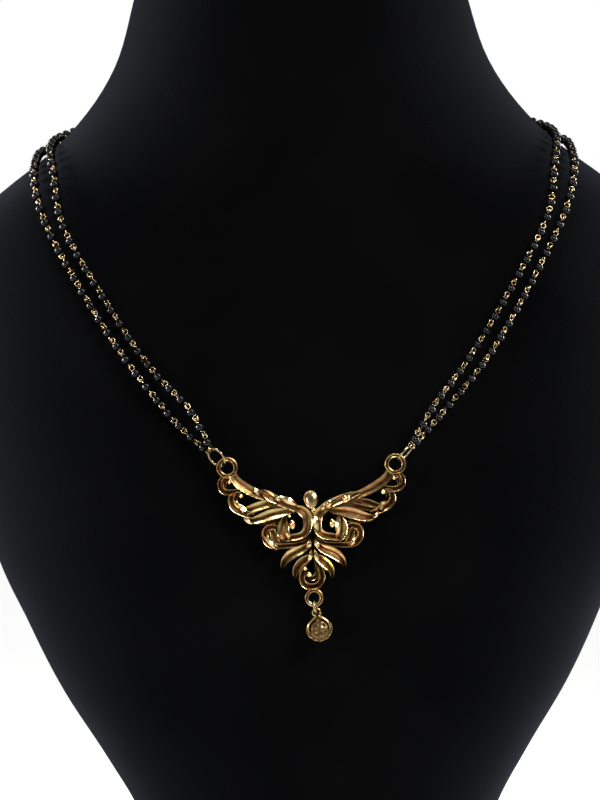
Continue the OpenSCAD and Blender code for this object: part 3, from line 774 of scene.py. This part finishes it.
# Leaves and scrolls, drawn for the left half from root to tip. Places are shares of half the
# span across and of the drop down, widths and the height above the back are in millimetres.
# [strip, places, widths, height, halves that have it]
BOTH, LEFT, RIGHT = 0, -1, 1
LEAVES = [
    # Bar: a long leaf from the eyelet to the column
    ["channel", [(-0.945, 0.045), (-0.885, 0.107), (-0.80, 0.150), (-0.70, 0.188), (-0.60, 0.216),
                 (-0.48, 0.246), (-0.34, 0.280), (-0.20, 0.325)],
     [2.2, 2.7, 2.85, 2.7, 2.4, 2.3, 2.3, 1.6], 1.4, BOTH],
    # On the left it carries two lapped leaves, each after a bright cut
    ["cut", [(-0.700, 0.150), (-0.660, 0.180), (-0.618, 0.228)], [0.3, 1.3, 0.3], 1.7, LEFT],
    ["channel", [(-0.610, 0.176), (-0.545, 0.203), (-0.470, 0.236), (-0.39, 0.272)],
     [0.6, 2.2, 2.5, 1.3], 1.95, LEFT],
    ["cut", [(-0.435, 0.208), (-0.408, 0.238), (-0.378, 0.274)], [0.3, 1.1, 0.3], 2.1, LEFT],
    ["cut", [(-0.395, 0.222), (-0.320, 0.247), (-0.245, 0.270), (-0.160, 0.302)],
     [0.3, 1.5, 1.6, 0.25], 2.05, LEFT],
    # On the right one leaf laps it, with two cuts
    ["channel", [(-0.570, 0.208), (-0.50, 0.224), (-0.42, 0.242), (-0.33, 0.262), (-0.24, 0.286),
                 (-0.15, 0.312), (-0.085, 0.345)],
     [0.5, 1.8, 2.3, 2.6, 2.5, 2.1, 1.4], 1.8, RIGHT],
    ["cut", [(-0.243, 0.243), (-0.205, 0.288), (-0.160, 0.338)], [0.3, 1.3, 0.3], 2.05, RIGHT],
    ["cut", [(-0.152, 0.278), (-0.130, 0.312), (-0.106, 0.350)], [0.3, 1.0, 0.3], 2.0, RIGHT],
    ["cut", [(-0.470, 0.222), (-0.440, 0.250), (-0.405, 0.284)], [0.3, 1.0, 0.3], 2.0, RIGHT],
    # Plates that close the hollows under the bar and between the feathers
    ["plate", [(-0.60, 0.250), (-0.45, 0.275), (-0.30, 0.312), (-0.20, 0.338)],
     [2.4, 3.4, 3.2, 1.8], 0.9, BOTH],
    ["plate", [(-0.56, 0.330), (-0.42, 0.335), (-0.28, 0.350)], [1.2, 2.6, 2.0], 0.8, BOTH],
    # Column beside the middle, from the bar's end down and out below the opening
    ["channel", [(-0.235, 0.310), (-0.140, 0.331), (-0.075, 0.368), (-0.056, 0.420),
                 (-0.062, 0.470), (-0.100, 0.513), (-0.17, 0.534), (-0.25, 0.542), (-0.34, 0.556)],
     [1.2, 2.5, 2.9, 2.7, 2.5, 2.3, 2.1, 2.0, 1.4], 1.7, BOTH],
    ["cut", [(-0.020, 0.350), (-0.030, 0.400), (-0.045, 0.455), (-0.080, 0.503)],
     [0.3, 1.4, 1.3, 0.3], 1.8, RIGHT],
    ["plate", [(0, 0.345), (0, 0.460)], [1.4, 1.0], 0.6, RIGHT],
    ["band", [(-0.012, 0.318), (-0.016, 0.345), (-0.018, 0.380)], [1.0, 1.3, 0.5], 1.35, RIGHT],
    # Lower arm, running out to the outer scroll
    ["channel", [(-0.03, 0.548), (-0.10, 0.580), (-0.20, 0.597), (-0.32, 0.603), (-0.43, 0.606)],
     [0.9, 1.2, 1.3, 1.4, 1.4], 1.3, BOTH],
    # Outer scroll: a band that comes round into its own hollow, an inner band and a cut across it
    ["channel", [(-0.40, 0.606), (-0.49, 0.594), (-0.548, 0.563), (-0.567, 0.515), (-0.552, 0.478),
                 (-0.505, 0.462), (-0.450, 0.462), (-0.405, 0.485)],
     [1.5, 1.9, 2.0, 1.9, 1.8, 1.7, 1.6, 0.9], 1.6, BOTH],
    ["channel", [(-0.490, 0.470), (-0.462, 0.515), (-0.440, 0.560), (-0.40, 0.600)],
     [1.2, 2.1, 2.2, 1.4], 1.45, BOTH],
    ["cut", [(-0.612, 0.508), (-0.54, 0.555), (-0.475, 0.598), (-0.430, 0.630)],
     [0.2, 0.9, 1.1, 0.3], 1.95, LEFT],
    ["cut", [(-0.520, 0.545), (-0.480, 0.580), (-0.440, 0.618)], [0.3, 1.1, 0.4], 1.95, RIGHT],
    # Bud, its side petal and its cut
    ["channel", [(-0.325, 0.385), (-0.345, 0.440), (-0.345, 0.500), (-0.318, 0.550),
                 (-0.283, 0.588)],
     [1.2, 3.0, 3.3, 2.3, 0.3], 2.1, BOTH],
    ["channel", [(-0.380, 0.420), (-0.413, 0.480), (-0.395, 0.540), (-0.340, 0.590)],
     [0.5, 1.3, 1.2, 0.3], 1.5, BOTH],
    ["cut", [(-0.293, 0.435), (-0.284, 0.510), (-0.282, 0.580)], [0.3, 0.8, 0.25], 2.2, LEFT],
    ["cut", [(-0.315, 0.385), (-0.306, 0.430), (-0.298, 0.490), (-0.290, 0.550)],
     [0.8, 1.5, 1.2, 0.3], 2.2, RIGHT],
    # Wing feathers, the turned edge of the lower one and the low leaf under it
    ["channel", [(-0.40, 0.268), (-0.53, 0.282), (-0.65, 0.303), (-0.79, 0.335)],
     [1.2, 2.4, 2.7, 2.3], 1.55, LEFT],
    ["channel", [(-0.26, 0.342), (-0.39, 0.353), (-0.50, 0.367), (-0.61, 0.391), (-0.73, 0.407),
                 (-0.80, 0.395)],
     [1.6, 2.8, 3.1, 2.7, 1.7, 0.5], 1.8, LEFT],
    ["channel", [(-0.53, 0.268), (-0.66, 0.285), (-0.80, 0.318)], [1.2, 1.7, 1.5], 1.5, RIGHT],
    ["channel", [(-0.43, 0.292), (-0.60, 0.322), (-0.79, 0.346)], [1.0, 1.5, 0.9], 1.6, RIGHT],
    ["channel", [(-0.24, 0.345), (-0.36, 0.350), (-0.48, 0.366), (-0.60, 0.390), (-0.70, 0.402),
                 (-0.77, 0.380)],
     [1.6, 2.7, 3.1, 2.7, 1.9, 0.6], 1.8, RIGHT],
    ["cut", [(-0.825, 0.362), (-0.795, 0.392), (-0.745, 0.417), (-0.690, 0.428)],
     [0.3, 0.85, 0.9, 0.3], 1.9, LEFT],
    ["cut", [(-0.785, 0.362), (-0.755, 0.388), (-0.710, 0.408)], [0.5, 0.9, 0.3], 1.9, RIGHT],
    ["channel", [(-0.40, 0.405), (-0.50, 0.420), (-0.66, 0.420)], [1.3, 1.7, 1.0], 1.2, BOTH],
    # Second scroll with its curl and its cut
    ["channel", [(-0.90, 0.195), (-0.945, 0.217), (-0.956, 0.265), (-0.92, 0.305), (-0.85, 0.331),
                 (-0.78, 0.353), (-0.70, 0.375)],
     [1.2, 1.7, 2.0, 2.2, 2.3, 2.1, 1.4], 1.65, BOTH],
    ["channel", [(-0.905, 0.258), (-0.905, 0.222), (-0.872, 0.202), (-0.845, 0.214)],
     [0.8, 1.4, 1.4, 0.9], 1.6, BOTH],
    ["cut", [(-0.885, 0.276), (-0.840, 0.298), (-0.800, 0.335)], [0.3, 1.1, 1.6], 1.75, BOTH],
    # Small scroll under the eyelet, with its curl
    ["channel", [(-1.030, 0.074), (-1.072, 0.104), (-1.080, 0.143), (-1.05, 0.176), (-0.99, 0.190),
                 (-0.93, 0.188), (-0.865, 0.180)],
     [1.3, 1.7, 1.8, 1.8, 1.7, 1.6, 1.3], 1.5, BOTH],
    ["channel", [(-1.045, 0.160), (-1.040, 0.115), (-1.005, 0.088), (-0.975, 0.108)],
     [1.2, 1.7, 1.6, 0.9], 1.65, BOTH],
    # Lower leaves and the cuts at their roots
    ["channel", [(-0.045, 0.600), (-0.13, 0.632), (-0.22, 0.657), (-0.30, 0.690), (-0.355, 0.735),
                 (-0.376, 0.793)],
     [1.4, 2.5, 2.9, 2.7, 1.7, 0.25], 1.8, BOTH],
    ["channel", [(-0.045, 0.690), (-0.10, 0.715), (-0.165, 0.750), (-0.212, 0.797),
                 (-0.228, 0.868)],
     [1.7, 2.5, 2.6, 1.8, 0.25], 2.0, BOTH],
    ["cut", [(-0.030, 0.555), (-0.044, 0.592), (-0.078, 0.630)], [0.25, 1.3, 0.3], 2.1, BOTH],
    ["cut", [(-0.018, 0.630), (-0.034, 0.680), (-0.060, 0.742)], [0.25, 1.2, 0.25], 2.25, BOTH],
    # Bottom scroll: a ring that opens at the top, with a curl inside it
    ["channel", [(-0.085, 0.775), (-0.128, 0.815), (-0.138, 0.862), (-0.098, 0.903), (-0.02, 0.917),
                 (0.058, 0.902), (0.096, 0.862), (0.095, 0.812), (0.062, 0.760), (0.02, 0.700)],
     [1.2, 1.7, 1.8, 1.9, 1.9, 1.9, 1.9, 1.8, 1.5, 0.9], 1.6, LEFT],
    ["channel", [(0.030, 0.755), (0.045, 0.800), (0.025, 0.838), (-0.030, 0.852), (-0.060, 0.835)],
     [0.7, 1.3, 1.4, 1.2, 0.7], 1.85, LEFT],
]

# Round grains: [place across, place down, radius in millimetres, how much taller than wide]
GRAINS = [
    (-0.975, 0.108, 0.50, 1.2), (0.980, 0.104, 0.60, 1), (-0.840, 0.216, 0.60, 1),
    (0.850, 0.208, 0.75, 1), (-0.890, 0.261, 0.40, 1), (-0.238, 0.440, 0.85, 1.6),
    (0.235, 0.437, 0.85, 1.5), (-0.270, 0.378, 0.45, 1), (-0.052, 0.822, 0.80, 1),
    (-0.097, 0.777, 0.60, 1), (0.398, 0.256, 1.00, 1.2),
]


def turned(name, profile, sides=32):
    """A solid turned round Z: a disc drawn up through [radius, height] after [radius, height]."""
    bpy.ops.mesh.primitive_circle_add(
        vertices=sides, radius=profile[0][0], fill_type="NGON", location=(0, 0, profile[0][1])
    )
    piece = added(name)
    bpy.ops.object.transform_apply(location=True, rotation=True, scale=True)
    open_mesh(piece)
    for (r0, z0), (r1, z1) in zip(profile, profile[1:]):
        bpy.ops.mesh.extrude_region_move(TRANSFORM_OT_translate={"value": (0, 0, z1 - z0)})
        bpy.ops.transform.resize(value=(r1 / r0, r1 / r0, 1))
    bpy.ops.mesh.select_all(action="SELECT")
    bpy.ops.mesh.normals_make_consistent(inside=False)
    close_mesh()
    return piece


def dome_profile(radius, low, top, steps=6):
    """Rises from the low edge as part of an ellipse to the top."""
    turns = [k * math.pi / 2 / steps for k in range(steps)] + [math.pi / 2 - 0.05]
    return [(radius * math.cos(a), low + (top - low) * math.sin(a)) for a in turns]


def grain(name, across, down, radius, tall):
    """A round-topped grain on a slightly thinner stem, which rises above the plate's front."""
    low = PLATE_T * 1.05 - radius * 0.3
    stem = [(radius * 0.85, 0.1)]
    piece = turned(name, stem + dome_profile(radius, low, low + radius), 24)
    piece.data.transform(Matrix.Diagonal((1, tall, 1, 1)))
    moved(piece, drawn(across, down))
    return piece


# One edge of an eyelet from its back to the groove: [in from the edge, height]
EYELET_EDGE = [
    (0.2, 0), (0, 0.2), (0, EYELET_T - 0.15), (0.1, EYELET_T + 0.12), (0.26, EYELET_T + 0.2),
    (0.42, EYELET_T + 0.1),
]
EYELET_GROOVE = EYELET_T - 0.14


def eyelet(name, across, down, size):
    """A flat ring with a groove between two raised rims."""
    outer, inner = size[0] / 2, size[1] / 2
    section = [(inner + inset, z) for inset, z in EYELET_EDGE]
    section += [((outer + inner) / 2, EYELET_GROOVE)]
    section += [(outer - inset, z) for inset, z in reversed(EYELET_EDGE)]
    bpy.ops.mesh.primitive_circle_add(vertices=len(section), radius=1, fill_type="NOTHING")
    piece = added(name)
    for vertex, (x, z) in zip(piece.data.vertices, section):
        vertex.co = (x, 0, z)
    open_mesh(piece)
    bpy.ops.mesh.spin(steps=64, angle=2 * math.pi, center=(0, 0, 0), axis=(0, 0, 1))
    seal()
    close_mesh()
    moved(piece, drawn(across, down))
    return piece


# Head: its length and width, how much its lower end narrows, its turns in degrees and its place
HEAD_L = 5.0
HEAD_W = 3.7
HEAD_TAPER = 0.45
HEAD_TURNS = {"X": -13, "Y": -5, "Z": 6}
HEAD_PLACE = (-0.006, 0.265, 0.2)
HEAD_PROFILE = [
    (1.6, 0), (1.82, 0.25), (HEAD_W / 2, 1.3), (1.80, 1.52), (1.70, 1.6), (1.60, 1.54),
    (1.50, 1.38), (1.42, 1.42), (1.15, 1.55), (0.8, 1.65), (0.4, 1.70), (0.1, 1.71),
]


def head():
    """The egg above the middle, its round end up: a low dome inside a raised rim."""
    piece = turned("head", HEAD_PROFILE, 32)
    piece.data.transform(Matrix.Diagonal((1, HEAD_L / HEAD_W, 1, 1)))
    apply(piece, "SIMPLE_DEFORM", deform_method="TAPER", deform_axis="Y", factor=HEAD_TAPER)
    for axis, degrees in HEAD_TURNS.items():
        swung(piece, degrees, axis)
    moved(piece, drawn(*HEAD_PLACE))
    return piece


def pendant():
    """The casting: head, leaves, grains and eyelets united."""
    parts = [head()]
    for count, (strip, line, widths, height, side) in enumerate(LEAVES):
        for half in (LEFT, RIGHT):
            if side in (BOTH, half):
                own_line = [(-across * half, down) for across, down in line]
                name = f"leaf_{count}_{half}"
                parts.append(bent(STRIPS[strip], name, own_line, widths, height))
    parts += [grain(f"grain_{k}", *row) for k, row in enumerate(GRAINS)]
    parts += [eyelet("left_eyelet", -1, 0, SIDE_EYE), eyelet("right_eyelet", 1, 0, SIDE_EYE)]
    parts += [eyelet("low_eyelet", 0, 1, LOW_EYE)]
    piece = fused("openwork_pendant", parts)
    smooth(piece, 26)
    return settle(piece, ON_PENDANT, casting, "cast_gold", "pendant")


pendant()


# Drop: a round plate with a milled rim, a strap up each side to its lug, and a rough dome. It
# hangs swung to one side by some degrees. Its own frame has the drop ring's middle as origin.
DROP_SWING = 8
DROP_MIDDLE = -8.36
DROP_R = 3.6
DROP_T = 1.5
LUG = (2.08, 0.62)
LUG_MIDDLE = -4.02
DOME_R = 2.8
DOME_FOOT = DROP_T / 2 - 0.42
DOME_TOP = DROP_T / 2 + 0.75
DOME_PLACE = Vector((0.1, -0.25, 0))
DENT_R = 0.55

# The plate's turned edge: [in from its rim, above its middle], and the flats by the straps
PLATE_EDGE = [
    (0.55, -DROP_T / 2), (0.3, -DROP_T / 2 + 0.12), (0.3, DROP_T / 2 - 0.35),
    (0.42, DROP_T / 2 - 0.15), (0.6, DROP_T / 2 - 0.15), (0.8, DROP_T / 2 - 0.4),
]
FLAT_TURN = 49
FLAT_OUT = 3.05

# Hand-beaten dents in the dome: [place, depth]
DENTS = [
    ((1.1, 0.5), 0.26), ((-0.9, 0.7), 0.22), ((0.2, -1.2), 0.24), ((-1.3, -0.7), 0.2),
    ((1.3, -1.0), 0.18), ((0.0, 1.5), 0.2),
]

# Right strap, from the lug down round the plate, its widths and its height
STRAP = [(0.45, 3.45), (1.65, 2.50), (2.75, 1.25), (2.95, 0.0), (2.65, -1.1)]
STRAP_WIDTHS = [0.6, 0.75, 0.75, 0.55, 0.25]
STRAP_HEIGHT = 2.5
STRAP_SINK = 0.1

# Teeth round the rim, starting and ending this many degrees from the top
MILLED = 28
MILLED_FROM = 74
TOOTH = [(0.10, -0.66), (0.16, -0.58), (0.17, 0.5), (0.12, 0.64), (0.04, 0.68)]
TOOTH_IN = 0.17


def milled_rim():
    """Fine teeth round the plate's edge, up to where the straps lean in to the lug."""
    teeth = []
    for turn in np.linspace(90 + MILLED_FROM, 450 - MILLED_FROM, MILLED):
        tooth = turned("tooth", TOOTH, 8)
        around = Matrix.Rotation(math.radians(turn), 4, "Z")
        tooth.data.transform(around @ Matrix.Translation((DROP_R - TOOTH_IN, 0, 0)))
        teeth.append(tooth)
    return teeth


def drop_plate():
    """The drop's plate, cut flat on both sides of the top where the straps pass."""
    plate = turned("plate", [(DROP_R - inset, z) for inset, z in PLATE_EDGE], 60)
    open_mesh(plate)
    for side in (LEFT, RIGHT):
        turn = math.radians(90 - side * FLAT_TURN)
        out = Vector((math.cos(turn), math.sin(turn), 0))
        bpy.ops.mesh.select_all(action="SELECT")
        bpy.ops.mesh.bisect(
            plane_co=out * FLAT_OUT, plane_no=out, clear_outer=True, use_fill=True
        )
    close_mesh()
    return plate


def drop_dome():
    """The drop's dome, beaten by hand."""
    front = DROP_T / 2
    profile = [(DOME_R, -0.2)] + dome_profile(DOME_R, DOME_FOOT, DOME_TOP, 8)
    dome = turned("dome", profile, 40)
    moved(dome, DOME_PLACE)
    open_mesh(dome)
    for place, deep in DENTS:
        middle = Vector(place)
        pick(dome, lambda co: co.z > front and (co.xy - middle).length < DENT_R)
        bpy.ops.transform.translate(value=(0, 0, -deep))
    close_mesh()
    return dome


def drop_strap(side):
    """A strap up one side of the drop to its lug."""
    line = [(side * x / (SPAN / 2), -y / DROP) for x, y in STRAP]
    strap = bent(STRIPS["band"], "strap", line, STRAP_WIDTHS, STRAP_HEIGHT)
    moved(strap, (0, 0, -DROP_T / 2 + STRAP_SINK))
    return strap


def drop():
    """The drop on its ring: plate, dome, lug, straps and milled rim united."""
    plate, dome = drop_plate(), drop_dome()
    straps = [drop_strap(side) for side in (LEFT, RIGHT)]
    lug = ring("lug", *LUG, turn=-90, gap=0.02, sides=12, steps=36)
    moved(lug, (0, LUG_MIDDLE - DROP_MIDDLE, 0))
    piece = fused("milled_drop", [plate, dome, lug] + straps + milled_rim())
    smooth(piece, 38)
    moved(piece, (0, DROP_MIDDLE, 0))
    swing = Matrix.Rotation(math.radians(DROP_SWING), 4, "Z")
    place = ON_PENDANT @ (Matrix.Translation((0, -DROP, EYELET_T / 2)) @ swing)
    stamping = gold_stamping(place @ (DOME_PLACE + Vector((0, DROP_MIDDLE, DROP_T / 2))))
    return settle(piece, place, stamping, "cast_gold", "drop")


drop()
dropped(*STRIPS.values())


# Clasp: a screw barrel with turned collars and an eye at each end
CLASP_L = 9
CLASP_R = 1.5
CLASP_EYE = (2.34, 0.66)
CLASP_SINK = 0.1

# One end of the barrel from its tip: [radius, in from the tip], and its collar by the middle
CLASP_END = [
    (0.5, 0), (1.1, 0.12), (1.38, 0.5), (CLASP_R, 0.75), (CLASP_R, 1.15), (1.38, 1.4),
    (1.22, 1.55), (1.30, 1.75), (1.36, 2.4),
]
CLASP_COLLAR = [(1.38, 0.55), (1.46, 0.45), (1.46, 0.12), (1.36, 0.05)]


def clasp():
    """The clasp, in the CAD's place."""
    middle = lie_of(solids("clasp")[0])[0]
    half = CLASP_L / 2
    end = [(r, half - inset) for r, inset in CLASP_END] + CLASP_COLLAR
    profile = [(r, -z) for r, z in end] + [(r, z) for r, z in reversed(end)]
    barrel = turned("barrel", profile, 36)
    swung(barrel, 90, "Y")
    eyes = []
    for side, turn in ((LEFT, 0), (RIGHT, 180)):
        eye = ring("eye", *CLASP_EYE, turn=turn, gap=0.02, steps=32)
        moved(eye, (side * (half + CLASP_EYE[0] / 2 - CLASP_SINK), 0, 0))
        eyes.append(eye)
    piece = fused("barrel_clasp", [barrel] + eyes)
    smooth(piece, 35)
    return settle(piece, Matrix.Translation(middle), wire, "wire_gold", "clasp")


clasp()


# Floor, and a room that is white to the camera and dim as a light, brighter overhead
bpy.ops.mesh.primitive_circle_add(vertices=96, radius=8, fill_type="NGON", location=(0, 0, 0))
floor = added("photo_table")
floor.data.materials.append(table_top())

scene = bpy.context.scene
scene.view_settings.view_transform = "Standard"
world = bpy.data.worlds.new("studio")
scene.world = world
world.use_nodes = True
sky = world.node_tree
sky.nodes.clear()
way = add(sky, "SeparateXYZ", {"Vector": add(sky, "TexCoord").outputs["Generated"]})
overhead = ranged(sky, way.outputs["Z"], 0, 0.9, 0.04, 0.22)
room = add(sky, "Background", {"Color": linear("#FFFFFF"), "Strength": overhead})
wall = add(sky, "Background", {"Color": linear("#FFFFFF"), "Strength": 1.0})
to_camera = add(sky, "LightPath").outputs["Is Camera Ray"]
seen = add(sky, "MixShader", {"Fac": to_camera, 1: room.outputs[0], 2: wall.outputs[0]})
add(sky, "OutputWorld", {"Surface": seen.outputs[0]})


# Soft boxes: place and size in millimetres, power in watts
LIGHT_SPREAD = 52
MIDDLE = (0, PENDANT_Y, PENDANT_Z)
NECK = (0, 0, 230)


def soft_box(name, place, size, power, target=MIDDLE):
    """A rectangular white soft light that faces the pendant or another place."""
    light = bpy.data.lights.new(name, "AREA")
    light.shape = "RECTANGLE"
    light.size, light.size_y = size[0] * MM, size[1] * MM
    light.energy = power
    light.spread = math.radians(LIGHT_SPREAD)
    lamp = bpy.data.objects.new(name, light)
    scene.collection.objects.link(lamp)
    lamp.location = Vector(place) * MM
    aim = Vector(target) * MM - lamp.location
    lamp.rotation_euler = aim.to_track_quat("-Z", "Y").to_euler()


soft_box("key_box", (450, -790, 600), (400, 400), 1.45)
soft_box("fill_box", (-600, -700, 60), (160, 300), 0.4)
soft_box("top_box", (-160, -330, 900), (340, 160), 0.5)
soft_box("left_edge_box", (-800, 260, 380), (200, 500), 2.6, NECK)
soft_box("right_edge_box", (800, 260, 380), (200, 500), 2.0, NECK)
